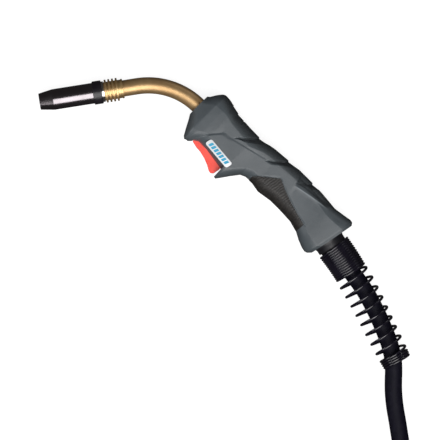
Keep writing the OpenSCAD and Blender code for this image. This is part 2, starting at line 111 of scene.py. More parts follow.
# ------------------------------------------------------------------ mesh helpers
def add_mesh(name, verts, faces, sharp=38.0):
    """A piece from points in metres, with doubled points merged and faces turned outwards."""
    me = bpy.data.meshes.new(name)
    me.from_pydata([tuple(v) for v in verts], [], faces)
    me.validate()
    bm = bmesh.new()
    bm.from_mesh(me)
    bmesh.ops.remove_doubles(bm, verts=bm.verts, dist=1e-6)
    bmesh.ops.recalc_face_normals(bm, faces=bm.faces)
    bm.to_mesh(me)
    bm.free()
    ob = bpy.data.objects.new(name, me)
    scene.collection.objects.link(ob)
    shade(ob, sharp)
    return ob


def shade(ob, sharp=38.0):
    """Smooth shading with sharp edges over an angle."""
    bm = bmesh.new()
    bm.from_mesh(ob.data)
    for f in bm.faces:
        f.smooth = True
    for e in bm.edges:
        e.smooth = e.calc_face_angle(0) < math.radians(sharp)
    bm.to_mesh(ob.data)
    bm.free()


def grid_faces(rows, cols):
    """Faces between rings of points, each ring closed."""
    return [(i * cols + j, i * cols + (j + 1) % cols, (i + 1) * cols + (j + 1) % cols, (i + 1) * cols + j)
            for i in range(rows - 1) for j in range(cols)]


def loft(name, rings, cap=True, sharp=38.0):
    """Closed rings of points joined into one skin."""
    rings = [np.asarray(r) for r in rings]
    cols = len(rings[0])
    faces = grid_faces(len(rings), cols)
    if cap:
        faces += [tuple(range(cols - 1, -1, -1)), tuple(range((len(rings) - 1) * cols, len(rings) * cols))]
    return add_mesh(name, np.concatenate(rings), faces, sharp)


def tube_rings(path, radius, sides):
    """Rings round a path, with the frame carried along so that it doesn't twist."""
    p = np.asarray(path, float)
    t = np.gradient(p, axis=0)
    t /= np.linalg.norm(t, axis=1)[:, None]
    n = np.cross((0, 0, 1), t[0])
    n /= np.linalg.norm(n)
    rings = []
    for i in range(len(p)):
        n = n - t[i] * (n @ t[i])
        n /= np.linalg.norm(n)
        b = np.cross(t[i], n)
        a = np.linspace(0, 2 * math.pi, sides, endpoint=False)[:, None]
        rings.append(p[i] + radius * (np.cos(a) * n + np.sin(a) * b))
    return rings


def bool_cut(ob, cutter):
    """Takes the cutter's volume off a piece with an exact boolean, and removes the cutter."""
    mod = ob.modifiers.new("cut", "BOOLEAN")
    mod.operation = "DIFFERENCE"
    mod.solver = "EXACT"
    mod.object = cutter
    dg = bpy.context.evaluated_depsgraph_get()
    me = bpy.data.meshes.new_from_object(ob.evaluated_get(dg))
    ob.modifiers.clear()
    old = ob.data
    ob.data = me
    me.name = ob.name
    bpy.data.meshes.remove(old)
    bpy.data.objects.remove(cutter)


def box_mesh(name, lo, hi, place):
    """A box between two corners in the frame that place reads."""
    c = [(x, y, z) for x in (lo[0], hi[0]) for y in (lo[1], hi[1]) for z in (lo[2], hi[2])]
    faces = [(0, 1, 3, 2), (4, 6, 7, 5), (0, 4, 5, 1), (2, 3, 7, 6), (0, 2, 6, 4), (1, 5, 7, 3)]
    return add_mesh(name, [place(*p) for p in c], faces)


# ------------------------------------------------------------------ materials
def material(name, build):
    """A material whose nodes build(tree, shader) makes."""
    m = bpy.data.materials.new(name)
    m.use_nodes = True
    nt = m.node_tree
    bsdf = nt.nodes["Principled BSDF"]
    build(nt, bsdf)
    return m


def node(nt, kind, inputs=None, **attrs):
    """A new node with its settings and the values of its unlinked inputs."""
    n = nt.nodes.new(kind)
    for k, v in attrs.items():
        setattr(n, k, v)
    for k, v in (inputs or {}).items():
        n.inputs[k].default_value = v
    return n


def place_coords(nt):
    return nt.nodes.new("ShaderNodeTexCoord").outputs["Object"]


def noise(nt, scale, detail, rough=0.5):
    n = node(nt, "ShaderNodeTexNoise", {"Scale": scale, "Detail": detail, "Roughness": rough})
    nt.links.new(place_coords(nt), n.inputs["Vector"])
    return n.outputs["Fac"]


def ramp(nt, value, stops):
    """Colour between two stops, each a position and a colour."""
    n = nt.nodes.new("ShaderNodeValToRGB")
    for e, (pos, col) in zip(n.color_ramp.elements, stops):
        e.position = pos
        e.color = (*col, 1)
    nt.links.new(value, n.inputs["Fac"])
    return n.outputs["Color"]


def scaled(nt, value, lo, hi, from_lo=0.3, from_hi=0.7):
    """The value's middle range, where noise mostly lies, brought to another range."""
    n = node(nt, "ShaderNodeMapRange", {"From Min": from_lo, "From Max": from_hi, "To Min": lo, "To Max": hi})
    nt.links.new(value, n.inputs["Value"])
    return n.outputs["Result"]


def add(nt, a, b, op="ADD"):
    """Sum, or another operation, of two values or sockets."""
    n = node(nt, "ShaderNodeMath", operation=op)
    for i, v in enumerate((a, b)):
        if isinstance(v, (int, float)):
            n.inputs[i].default_value = v
        else:
            nt.links.new(v, n.inputs[i])
    return n.outputs["Value"]


def bump(nt, bsdf, height, distance, strength):
    n = node(nt, "ShaderNodeBump", {"Strength": strength, "Distance": distance})
    nt.links.new(height, n.inputs["Height"])
    nt.links.new(n.outputs["Normal"], bsdf.inputs["Normal"])


def colour_noise(nt, bsdf, a, b, scale, lo=0.35, hi=0.65):
    """Base colour that drifts between two colours."""
    c = ramp(nt, noise(nt, scale, 3), [(lo, a), (hi, b)])
    nt.links.new(c, bsdf.inputs["Base Color"])


def metal(name, a, b, rough_lo, rough_hi, scale=120, grain=900, depth=0.00003, share=1.0):
    """Metal between two colours and two roughnesses; share is how metallic it is."""
    def build(nt, s):
        s.inputs["Metallic"].default_value = share
        colour_noise(nt, s, a, b, scale)
        nt.links.new(scaled(nt, noise(nt, scale * 0.7, 4), rough_lo, rough_hi), s.inputs["Roughness"])
        bump(nt, s, noise(nt, grain, 3), depth, 0.6)
    return material(name, build)


def plastic(name, a, b, rough_lo, rough_hi, scale=60, grain=1500, depth=0.0001, spec=0.5):
    """Moulded plastic or rubber between two colours and two roughnesses, with a fine grain of some depth."""
    def build(nt, s):
        s.inputs["Specular IOR Level"].default_value = spec
        colour_noise(nt, s, a, b, scale)
        nt.links.new(scaled(nt, noise(nt, scale * 2, 4), rough_lo, rough_hi), s.inputs["Roughness"])
        bump(nt, s, noise(nt, grain, 4, 0.6), depth, 0.5)
    return material(name, build)


DARK_CHROME = metal("dark_chrome", (0.205, 0.188, 0.198), (0.235, 0.216, 0.228), 0.20, 0.22, 90, 500, 0.00002)
BLACK_RING = plastic("black_ring", (0.006, 0.005, 0.008), (0.012, 0.010, 0.014), 0.28, 0.42, 80, 1200, 0.00008)
CHROME = metal("bright_chrome", (0.62, 0.60, 0.58), (0.70, 0.69, 0.66), 0.12, 0.2)
COPPER = metal("copper", (0.72, 0.36, 0.20), (0.80, 0.44, 0.26), 0.18, 0.32)
BRASS = metal("brass", (0.52, 0.325, 0.15), (0.61, 0.41, 0.205), 0.40, 0.48, 70, 700, 0.00004, share=0.8)
BRASS_FIN = metal("brass_fins", (0.54, 0.355, 0.16), (0.65, 0.455, 0.22), 0.36, 0.46, 150, 900, 0.00003, share=0.85)
STEEL = metal("steel", (0.42, 0.42, 0.43), (0.50, 0.50, 0.51), 0.2, 0.33)
CERAMIC = plastic("white_ceramic", (0.75, 0.73, 0.68), (0.82, 0.80, 0.76), 0.3, 0.45)


def shell_nodes(nt, s):
    """Moulded grey plastic: "back" marks the back lobes, darker for their grain and for painted shade where the top
    turns from the light; "deep" paints shade into the grooves; "edge" paints a highlight along the rear ridge.
    """
    grain_and_shade_share, deep, edge = [node(nt, "ShaderNodeAttribute", attribute_name=n).outputs["Fac"]
                        for n in ("back", "deep", "edge")]
    body = ramp(nt, noise(nt, 40, 3), [(0.35, (0.066, 0.079, 0.088)), (0.65, (0.083, 0.097, 0.107))])
    # The back lobes' colour: darker for the grain, and darker still as painted shade of the top.
    grain_and_shade_colour = ramp(nt, noise(nt, 1900, 3), [(0.36, (0.014, 0.018, 0.021)), (0.64, (0.050, 0.058, 0.063))])
    mix = node(nt, "ShaderNodeMix", data_type="RGBA")
    nt.links.new(grain_and_shade_share, mix.inputs["Factor"])
    nt.links.new(body, mix.inputs["A"])
    nt.links.new(grain_and_shade_colour, mix.inputs["B"])
    colour = mix.outputs["Result"]
    # Painted shade in the grooves ("deep") and a painted highlight along the rear ridge ("edge"), mixed into the
    # colour.
    for factor, target in ((deep, (0.012, 0.015, 0.018, 1)), (edge, (0.24, 0.27, 0.29, 1))):
        mix = node(nt, "ShaderNodeMix", data_type="RGBA")
        nt.links.new(add(nt, factor, 0.7, "MULTIPLY"), mix.inputs["Factor"])
        nt.links.new(colour, mix.inputs["A"])
        mix.inputs["B"].default_value = target
        colour = mix.outputs["Result"]
    nt.links.new(colour, s.inputs["Base Color"])
    rough = add(nt, scaled(nt, noise(nt, 80, 4), 0.36, 0.46), add(nt, grain_and_shade_share, 0.14, "MULTIPLY"))
    nt.links.new(rough, s.inputs["Roughness"])
    s.inputs["Specular IOR Level"].default_value = 0.6
    grain = add(nt, noise(nt, 2600, 4, 0.6), add(nt, 0.5, add(nt, grain_and_shade_share, 2.2, "MULTIPLY")), "MULTIPLY")
    bump(nt, s, grain, 0.0002, 0.5)


SHELL = material("grey_plastic", shell_nodes)
RED = plastic("red_plastic", (0.92, 0.062, 0.038), (0.98, 0.085, 0.055), 0.30, 0.42, 50, 1400, 0.00006)
BLACK = plastic("black_plastic", (0.006, 0.0058, 0.0085), (0.011, 0.0105, 0.014), 0.36, 0.5, 70, 1500, 0.00012)
SPRING = plastic("spring_black", (0.006, 0.005, 0.010), (0.010, 0.0085, 0.016), 0.12, 0.20, 90, 1600, 0.00004,
                 spec=0.7)
RUBBER = plastic("cable_rubber", (0.0035, 0.0032, 0.008), (0.0065, 0.006, 0.0125), 0.50, 0.62, 160, 2200, 0.0002,
                 spec=0.1)
LEAD = plastic("lead_grey", (0.16, 0.16, 0.17), (0.2, 0.2, 0.21), 0.4, 0.5)
PLATE = plastic("plate_white", (0.78, 0.80, 0.82), (0.86, 0.88, 0.90), 0.22, 0.34, 60, 900, 0.00003)
PRINT = plastic("plate_print", (0.02, 0.34, 0.56), (0.04, 0.42, 0.66), 0.25, 0.38, 60, 900, 0.00003)


def grip_nodes(nt, s):
    """Soft moulded rubber with small scale-shaped waves across it."""
    colour_noise(nt, s, (0.013, 0.0115, 0.0105), (0.024, 0.021, 0.019), 260, 0.4, 0.62)
    wave = node(nt, "ShaderNodeTexWave", {"Scale": 130.0, "Distortion": 4.0, "Detail": 2.0, "Detail Scale": 1.4})
    leaning = node(nt, "ShaderNodeMapping", {"Rotation": (0, 0, math.radians(62))})
    nt.links.new(place_coords(nt), leaning.inputs["Vector"])
    nt.links.new(leaning.outputs["Vector"], wave.inputs["Vector"])
    height = add(nt, add(nt, wave.outputs["Fac"], 0.7, "MULTIPLY"),
                 add(nt, noise(nt, 1500, 4), 0.5, "MULTIPLY"))
    nt.links.new(scaled(nt, wave.outputs["Fac"], 0.42, 0.62, 0, 1), s.inputs["Roughness"])
    bump(nt, s, height, 0.0003, 0.7)


GRIP = material("grip_rubber", grip_nodes)


def strap_nodes(nt, s):
    """Woven webbing."""
    weave = node(nt, "ShaderNodeTexChecker", {"Scale": 900.0})
    nt.links.new(place_coords(nt), weave.inputs["Vector"])
    colour_noise(nt, s, (0.02, 0.02, 0.022), (0.05, 0.05, 0.055), 700)
    s.inputs["Roughness"].default_value = 0.85
    s.inputs["Sheen Weight"].default_value = 0.4
    bump(nt, s, weave.outputs["Fac"], 0.0003, 0.8)


STRAP = material("strap_fabric", strap_nodes)


def give(ob, mat):
    """Gives a piece its only material."""
    ob.data.materials.clear()
    ob.data.materials.append(mat)


# ------------------------------------------------------------------ cable
CABLE_R = 8.5
cable_route = [[253.4, -173.3, 0], [258.1, -183.2, 0], [265.6, -197.2, 0], [272.6, -210.5, -0.4],
    [278.6, -222, -1.2], [283.8, -233.5, -2.2], [288, -245.5, -3.2], [291.4, -256.2, -4.2],
    [294.2, -267, -5], [296.8, -278, -5.6], [298.6, -289, -6], [299.1, -300, -6.5],
    [298, -311, -7.4], [296, -322, -8.6], [294.4, -334, -9.9], [293.8, -347, -11],
    [294, -360, -11.5], [294, -375, -11.5], [294, -395, -11.4], [294, -420, -11.2],
    [294, -445, -10.6], [294, -467, -10]]
tail_route = [[277, -533, 7.1], [277, -562, 7.1], [277, -580, 6], [277, -601, 5.2]]
COIL = np.array([182.0, -500.0])
LANE = 17  # one lane or layer of the coil beside the next, which is the cable's thickness
OUTER, MIDDLE_LANE, INNER = 112.0, 95.0, 78.0
LOW, HIGH = -9.9, 7.1
STEP = 5.0  # degrees
CHANGE = 86  # degrees that a change of lane or layer takes
BENCH = -20.0


def glide(left, start):
    """Share of a change of lane that begins with start degrees of the turn left, bending evenly all the way."""
    u = min(1.0, max(0.0, (start - left) / CHANGE))
    return 2 * u * u if u < 0.5 else 1 - 2 * (1 - u) ** 2


def coil_points():
    """Four turns, clockwise from above: low layer from the outer lane inwards, then up and back outwards."""
    out = []
    for k in range(1, 4 * 72):
        lap, at = divmod(k * STEP, 360)
        shift = LANE * glide(360 - at, 94 + CHANGE * lap)
        r, z = [(OUTER - shift, LOW), (MIDDLE_LANE - shift, LOW),
                (INNER, LOW + shift), (INNER + shift, HIGH)][int(lap)]
        a = math.radians(-k * STEP)
        out.append([COIL[0] + r * math.cos(a), COIL[1] + r * math.sin(a), z])
    return out


cable_mm = np.concatenate([catmull(cable_route[1:], 3), [[294, -484, -9.9], [294, -500, -9.9]],
                           coil_points(), [[277, -500, 7.1], [277, -516, 7.1]], catmull(tail_route, 3)])
cable_path = row(cable_mm)
cable = loft("cable_sheath", tube_rings(cable_path, CABLE_R / 1000, 28))
give(cable, RUBBER)
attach(cable, "cable")
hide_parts("power_cable", "cable_coil", "cable_tail")


def half_hull(points):
    """One side of the convex outline of points that are in order."""
    hull = []
    for p in points:
        while len(hull) > 1:
            (ax, ay), (bx, by) = hull[-2:]
            if (bx - ax) * (p[1] - ay) - (by - ay) * (p[0] - ax) > 0:
                break
            hull.pop()
        hull.append(p)
    return hull[:-1]


def strap(name, angle):
    """Webbing round whatever strands cross one place of the coil."""
    c, s = math.cos(math.radians(angle)), math.sin(math.radians(angle))
    rel = cable_mm[:, :2] - COIL
    ang = np.degrees(np.arctan2(rel[:, 1], rel[:, 0])) % 360
    rad = np.hypot(rel[:, 0], rel[:, 1])
    near = (np.abs(ang - angle) < STEP / 2 + 0.1) & (rad < OUTER + 6)
    pts = sorted({(r + CABLE_R * math.cos(t), z + CABLE_R * math.sin(t))
                  for r, z in zip(rad[near], cable_mm[near, 2])
                  for t in np.linspace(0, 2 * math.pi, 24, endpoint=False)})
    hull = np.array(half_hull(pts) + half_hull(pts[::-1]))
    mid = hull.mean(axis=0)
    d = hull - mid
    rings = []
    half_w = 6.5
    for grow, across in ((0.15, -half_w), (1.15, -half_w + 0.3), (1.35, -half_w + 1.2), (1.35, half_w - 1.2),
                         (1.15, half_w - 0.3), (0.15, half_w)):
        q = mid + d * (1 + grow / np.linalg.norm(d, axis=1))[:, None]
        q[:, 1] = np.maximum(q[:, 1], BENCH + 0.1)
        rings.append(row([[COIL[0] + x * c - across * s, COIL[1] + x * s + across * c, z] for x, z in q]))
    ob = loft(name, rings, cap=False)
    give(ob, STRAP)
    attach(ob, "cable")
    return ob


STRAPS = [strap("coil_strap_a", 82.0), strap("coil_strap_b", 290.0)]
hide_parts("cable_straps")

# ------------------------------------------------------------------ bend spring
spring_route = [[258.6, -182.8, 0], [265.6, -196.7, -0.3], [271.9, -211.1, -0.8], [278.6, -228.7, -1.6],
    [285.2, -248.2, -2.8], [291.2, -268.2, -3.8], [297.6, -288.2, -4.6], [303.2, -305.7, -5.2]]
WIRE = 2.3
CLOSE, OPEN, END = 12.75, 8.5, 3.5  # turns that touch, open turns, and turns that touch at the free end
CLOSE_PITCH, OPEN_PITCH = WIRE + 0.06, 10.5


def spring_points():
    """Middle line of the wire, its outward and its forward directions, and its radius."""
    line = catmull(spring_route, 24)
    run = np.concatenate([[0], np.cumsum(np.linalg.norm(np.diff(line, axis=0), axis=1))])
    tangent = np.gradient(line, axis=0)
    tangent /= np.linalg.norm(tangent, axis=1)[:, None]
    turns = CLOSE + OPEN + END
    n = np.arange(0, turns + 1e-6, 1 / 40)
    along = (1.2 + np.minimum(n, CLOSE) * CLOSE_PITCH + np.clip(n - CLOSE, 0, OPEN) * OPEN_PITCH
             + np.maximum(0, n - CLOSE - OPEN) * CLOSE_PITCH)
    r = np.interp(n, [0, CLOSE, CLOSE + 0.7, turns - END, turns], [16.0, 15.4, 15.9, 14.0, 13.3])
    c = np.stack([np.interp(along, run, line[:, k]) for k in range(3)], axis=1)
    t = np.stack([np.interp(along, run, tangent[:, k]) for k in range(3)], axis=1)
    t /= np.linalg.norm(t, axis=1)[:, None]
    s = np.cross((0, 0, 1), t)
    s /= np.linalg.norm(s, axis=1)[:, None]
    w = np.cross(t, s)
    a = (2 * math.pi * n)[:, None]
    out = np.cos(a) * s + np.sin(a) * w
    slack = smooth(n, CLOSE - 0.5, CLOSE + 0.8) * (1 - smooth(n, CLOSE + OPEN - 0.8, CLOSE + OPEN + 0.5))
    return c + r[:, None] * out, out, t, WIRE / 2 * (1 + 0.15 * slack)


s_line, s_out, s_dir, s_thick = spring_points()
b = np.linspace(0, 2 * math.pi, 14, endpoint=False)[:, None]
spring = loft("bend_spring_wire", [row(p + q * (np.cos(b) * o + np.sin(b) * t))
                                   for p, o, t, q in zip(s_line, s_out, s_dir, s_thick)])
give(spring, SPRING)
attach(spring, "cable")
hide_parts("bend_spring")

# ------------------------------------------------------------------ handle
back_line = [[-1, 12.5], [1, 14], [4.5, 20], [8.5, 25], [11, 26.1], [17, 25.7], [24.5, 24.2],
    [32.5, 21.8], [41, 20.8], [50, 20.3], [61, 20.1], [70, 20.7], [81, 22.8], [95, 24], [113, 25.2],
    [128, 25.3], [143, 24.8], [160, 23], [176, 26], [178.8, 25.4], [181, 22.8]]
belly_line = [[-1, -11.5], [2, -16.5], [5.3, -23], [9.6, -31], [12, -33], [15.5, -31.8],
    [19.8, -27.6], [24, -25], [34.7, -25], [46, -26.7], [57.8, -28.6], [58.2, -38], [60.5, -38.4],
    [63.4, -34.5], [69, -26.5], [75, -18.7], [80, -16.4], [89, -16], [98.7, -17.7], [113, -15.4],
    [126, -15.3], [141, -16], [152, -18.7], [162, -23.2], [172, -26.5], [176, -27.2], [178.5, -26.4],
    [181, -23]]
side_line = [[-1, 12], [0, 12.4], [11, 18.7], [20, 19.6], [28, 20], [60, 20], [72, 19.2], [90, 18.4],
    [130, 18.4], [138, 18.6], [146, 18.95], [154, 19.4], [162, 19.8], [170, 20], [178, 20], [181, 18.4]]
pad_edge = [[82.3, -13.6], [88.2, -7.3], [97.3, 0.1], [104.6, 6.2], [107, 6.2],
    [116.2, 1.8], [129.2, -3], [140.8, -6.4], [150, -8.6], [153.2, -9.3]]
FRONT, REAR = -1, 181.01  # stations in mm, past both ends of the handle
REAR_CENTRE = (180.8, -3.4)
REAR_TILT = math.radians(11)


def softened(table, radius):
    """The same line with its corners rounded a little, on a fine grid."""
    step, reach = 0.25, 16
    x = np.arange(FRONT, REAR, step)
    y = lookup(table, x)
    k = np.exp(-0.5 * (np.arange(-reach, reach + 1) * step / radius) ** 2)
    k /= k.sum()
    padded = np.concatenate([np.full(reach, y[0]), y, np.full(reach, y[-1])])
    soft = np.convolve(padded, k, mode="valid")
    keep = np.minimum(1, np.minimum(x + 1, 181 - x) / 6)
    return np.stack([x, y * (1 - keep) + soft * keep], axis=1)


BACK, BELLY, SIDE = softened(back_line, 1.2), np.array(belly_line, float), softened(side_line, 0.35)


def section(s, t, inset=0.0):
    """Handle frame point(s) at station s and angle t in radians, from -pi/2 at the belly to pi/2 at the back."""
    top, low = lookup(BACK, s) - inset, lookup(BELLY, s) + inset
    side = lookup(SIDE, s) - inset
    e = np.where(s < 12, 0.95 - 0.025 * np.maximum(s, 0), 0.65)
    # e is 1 for an ellipse; a smaller one gives fuller corners, as behind the nose.
    y = (top + low) / 2 + (top - low) / 2 * np.sign(np.sin(t)) * np.abs(np.sin(t)) ** e
    z = side * np.minimum(1, 1.05 * np.abs(np.cos(t)) ** e)
    lean = np.clip((s - 140) / 30, 0, 1) * math.tan(REAR_TILT)
    return s + lean * (y - REAR_CENTRE[1]), y, z


def edge_x(points, y):
    """Where an edge that climbs across the handle lies along it."""
    p = np.array(sorted(points, key=lambda q: q[1]), float)
    return np.interp(y, p[:, 1], p[:, 0])


# Grooves of the back lobes as front and rear edges, the panel's crease and the rear ridge, in the side view.
GROOVES = [
    ([(44.6, 0.7), (53.6, 9.6), (58.3, 16), (61.7, 21.8), (63.1, 25.7)],
     [(44.6, 0.7), (50.6, 4.8), (57.3, 7.2), (65.1, 14.1), (71.8, 20.9), (74.8, 25.7)]),
    ([(80.9, 6.9), (90.1, 14.1), (97.5, 24.3), (99, 29.6)],
     [(80.9, 6.9), (89.5, 9.4), (99.7, 18.2), (107.7, 25.2), (111.5, 29.6)]),
    ([(117.8, 12.4), (122.7, 18), (129, 25.7), (130.9, 29.6)],
     [(117.8, 12.4), (124, 14.5), (134.7, 24.4), (139.6, 29.6)]),
]
PANEL = [(15.2, -32.4), (16.9, -29), (22.4, -20.8), (27.5, -12.2), (35.1, -3.3), (37.8, -2), (42.6, -1.3),
         (49.1, 0.5), (65.5, 4.5), (86.4, 9.6), (109.3, 15.5)]
RIDGE = [(118.3, 10.8), (134.8, 13.9), (160.6, 18.8)]
RIB_PITCH = 8.7
DEEPEST = 2.5  # no cut may come near the wall's inside
WALL = 3.9
SOCKET_R = 17.3


def line_offset(points, x, y):
    """Signed distance to a polyline, positive on its upper (back) side, and the share along it."""
    p = np.asarray(points, float)
    best = np.full(x.shape, 1e9)
    sign = np.ones(x.shape)
    share = np.zeros(x.shape)
    total = len(p) - 1
    for i in range(total):
        a, d = p[i], p[i + 1] - p[i]
        f = np.clip(((x - a[0]) * d[0] + (y - a[1]) * d[1]) / (d @ d), 0, 1)
        qx, qy = x - a[0] - f * d[0], y - a[1] - f * d[1]
        dist = np.hypot(qx, qy)
        near = dist < best
        best = np.where(near, dist, best)
        sign = np.where(near, np.where(d[0] * (y - a[1]) - d[1] * (x - a[0]) >= 0, 1, -1), sign)
        share = np.where(near, (i + f) / total, share)
    return best * sign, share


def groove_depth(x, wrap):
    """Depth in mm of the wedges between the back lobes, steep in front and running out to the rear."""
    depth = np.zeros(x.shape)
    for front, rear in GROOVES:
        f, r = edge_x(front, wrap), edge_x(rear, wrap)
        tip = front[0][1]
        inside = (wrap > tip) & (x > f - 0.9) & (x < r)
        share = np.clip((x - f) / np.maximum(r - f, 0.3), 0, 1)
        fall = smooth(x, f - 0.9, f + 0.5)
        deep = DEEPEST * smooth(wrap, tip, tip + 6) * (1 - 0.5 * smooth(wrap, tip + 13, tip + 22))
        depth += np.where(inside, deep * fall * (1 - share) ** 0.9, 0)
    return depth


def wrap_place(s, y, z, t):
    """The place across the section in mm, which goes on growing over the back (t above 0) to the middle."""
    return y + 0.45 * np.clip(lookup(SIDE, s) - z, 0, 40) * (t > 0)


def carve(x, y, z, wrap):
    """Depth in mm to take off the skin: grooves, panel step, rear ridge, pad channel, ribs and seam."""
    depth = groove_depth(x, wrap)
    # The panel is sunk behind its crease and comes back to the skin, less so along the crease's rear part.
    off, share = line_offset(PANEL, x, wrap)
    sunk = (0.8 - 0.35 * smooth(share, 0.35, 0.6)) * (1 - smooth(share, 0.72, 1.0))
    depth += np.where(off > -0.4, sunk * smooth(off, -0.4, 1.1) * np.exp(-np.maximum(off, 0) / 8.0), 0)
    # The rear ridge stands between a slope above it and a hollow below it.
    off, share = line_offset(RIDGE, x, wrap)
    ends = smooth(share, 0.0, 0.12) * (1 - smooth(share, 0.85, 1.0))
    above = np.minimum(3.2, 0.42 * np.maximum(off, 0)) * (1 - smooth(wrap, 21, 30))
    below = 0.8 * (1 - np.exp(np.minimum(off, 0) / 2.0)) * np.exp(np.minimum(off, 0) / 7.0)
    depth += ends * np.where(off > 0, above, below)
    # A narrow channel round the pad's upper edge.
    over = y - lookup(pad_edge, np.clip(x, 83, 153.2))
    near = (x > 82) & (x < 154.4) & (over > -2.4) & (over < 1.0)
    depth += np.where(near, 0.55 * (1 - smooth(np.abs(over - 0.1), 0.4, 1.0)), 0)
    # Saw-toothed ribs across the front of the back.
    tooth = np.mod((x - 23.2) / RIB_PITCH, 1.0)
    rib = 0.75 * (1 - tooth) * smooth(tooth, 0, 0.06) * smooth(wrap, 15, 22)
    depth += np.where((x > 20) & (x < 42), rib, 0)
    # The seam between the two shells.
    seam = np.abs(z)
    depth += np.where(seam < 0.5, 0.28 * (1 - smooth(seam, 0.12, 0.5)), 0)
    return depth


def half_skin(name, side):
    """One handle shell's outside, carved, closed flat on the middle plane."""
    corners = [57.8, 58.0, 58.2, 60.5, 63.4, 11.0, 12.0, 181.0]
    s = np.unique(np.concatenate([np.arange(FRONT, REAR, 0.5), corners]))
    count = 156
    u = np.linspace(-1, 1, count + 1)
    t = np.pi / 2 * (u * 0.82 + 0.18 * np.sin(u * math.pi) / math.pi * -1)
    t = t / np.abs(t).max() * math.pi / 2
    S, T = np.meshgrid(s, t, indexing="ij")
    x, y, z = section(S, T)
    nudge = 1e-2
    _, y2, z2 = section(S, np.clip(T + nudge, -math.pi / 2, math.pi / 2))
    _, y1, z1 = section(S, np.clip(T - nudge, -math.pi / 2, math.pi / 2))
    ty, tz = y2 - y1, z2 - z1
    n = np.hypot(ty, tz)
    ny, nz = -tz / np.maximum(n, 1e-9), ty / np.maximum(n, 1e-9)
    ny[:, 0], nz[:, 0], ny[:, -1], nz[:, -1] = -1, 0, 1, 0
    wrap = wrap_place(S, y, z, T)
    d = np.minimum(carve(x, y, z, wrap), DEEPEST)
    y, z = y - d * ny, np.maximum(z - d * nz, 0)
    z[:, 0], z[:, -1] = 0, 0
    pts = np.stack([x, y, z * side], axis=2)
    rings = [np.array([handle(*p) for p in ring]) for ring in pts]
    return loft(name, rings, sharp=30)


def hollow():
    """The space inside the handle, a wall's thickness under its skin."""
    stations = [5.3, 8, 10, 12, 15.5, 19.8, 24, 30, 38, 46, 52, 57.8, 60.5, 63.4, 66, 69, 72, 75, 80, 89, 98.7,
                113, 126, 141, 152]
    rings = []
    for q in stations:
        t = np.radians(-90 + 360 * np.arange(20) / 20)
        low = np.where(t > math.pi / 2, math.pi - t, t)
        x, y, z = section(np.full(t.shape, q), low, WALL)
        y = np.maximum(y, -24.5)
        z = np.where(t <= math.pi / 2 + 1e-6, z, -z)
        rings.append(np.array([handle(*p) for p in zip(x, y, z)]))
    return loft("hollow", rings)


def rear_place(x, y, z):
    """Frame of the ball socket, x out of the handle's rear face."""
    c, s = math.cos(REAR_TILT), math.sin(REAR_TILT)
    out = x - 4
    return handle(REAR_CENTRE[0] + out * c + y * s, REAR_CENTRE[1] - out * s + y * c, z)


def solid_turned(name, profile, place, steps=48):
    """A turned solid with flat ends, from (radius, place along the axis) in mm."""
    a = np.linspace(0, 2 * math.pi, steps, endpoint=False)
    return loft(name, [np.array([place(x, r * math.cos(q), r * math.sin(q)) for q in a]) for r, x in profile])


def mark_grain_and_painted_light(ob):
    """Stores at each point how much it lies on the grained back, which also carries painted shade, how much painted
    shade it takes in a groove, and how much painted highlight it takes on the ridge's edge.
    """
    co = np.array([v.co for v in ob.data.vertices]) * 1000 + MIDDLE
    dx, dy = co[:, 0] - NECK_END[0], co[:, 1] - NECK_END[1]
    c, s = math.cos(NECK_BEND), math.sin(NECK_BEND)
    a, b = dx * c - dy * s, dx * s + dy * c
    # Where the back's grain and its painted shade begin, across the handle.
    lower = lookup([[0, 19], [15, 18], [35, 10], [55, 9.6], [70, 10.6], [92, 13], [118, 14.5], [160, 20],
                    [170, 27]], a)
    fall = lookup(SIDE, a) - np.abs(co[:, 2])
    share = smooth(b + 0.6 * fall, lower - 3, lower + 7) * smooth(a, 4, 14)
    wrap = wrap_place(a, b, np.abs(co[:, 2]), b)
    # Painted shade, strongest where the grooves are deepest.
    deep = smooth(groove_depth(a, wrap), 0.15, 1.5)
    # Painted highlight in a thin band along the rear ridge.
    off, place = line_offset(RIDGE, a, wrap)
    edge = np.exp(-(off / 0.5) ** 2) * smooth(place, 0.02, 0.2) * (1 - smooth(place, 0.7, 1.0))
    for label, value in (("back", share), ("deep", deep), ("edge", edge)):
        attribute = ob.data.attributes.new(label, "FLOAT", "POINT")
        attribute.data.foreach_set("value", value.astype(np.float32))


def cut_shell(ob):
    """Takes out the inside, the trigger's slot, the neck's bore and the ball socket."""
    bool_cut(ob, hollow())
    bool_cut(ob, box_mesh("slot", (18.6, -45, -9.2), (58, -18, 9.2), handle))
    bool_cut(ob, solid_turned("bore", [(8.0, -5), (8.0, 6), (10.6, 6), (10.6, 27.5)], handle))
    arc = [(SOCKET_R * math.sin(q), -SOCKET_R * math.cos(q)) for q in np.linspace(0.02, math.pi / 2, 14)]
    bool_cut(ob, solid_turned("socket", arc + [(16.1, 0), (15.9, 2.0), (16.9, 6.0), (17.2, 7.5)], rear_place, 64))
    bool_cut(ob, solid_turned("rear_bore", [(11, -31), (11, 0)], rear_place))
    shade(ob, 30)
    mark_grain_and_painted_light(ob)


SCREWS = [[15, 18.5], [66, -20.5], [62, 12.8], [104, 15], [161, 16.5], [160, -16]]
for name, side in (("handle_shell_left", 1), ("handle_shell_right", -1)):
    ob = half_skin(name, side)
    cut_shell(ob)
    if side < 0:
        for p in SCREWS:
            bool_cut(ob, solid_turned("screw_hole", [(3.3, -26), (3.3, -12)],
                                      lambda x, y, z, p=p: handle(p[0] + y, p[1] + z, x)))
        shade(ob, 30)
    give(ob, SHELL)
    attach(ob, "torch")
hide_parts("handle_left")
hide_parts("handle_right")


# ------------------------------------------------------------------ grip pads
SCALE_PITCH = 2.0
PAD_DEPTH = 0.9  # under the shell's skin


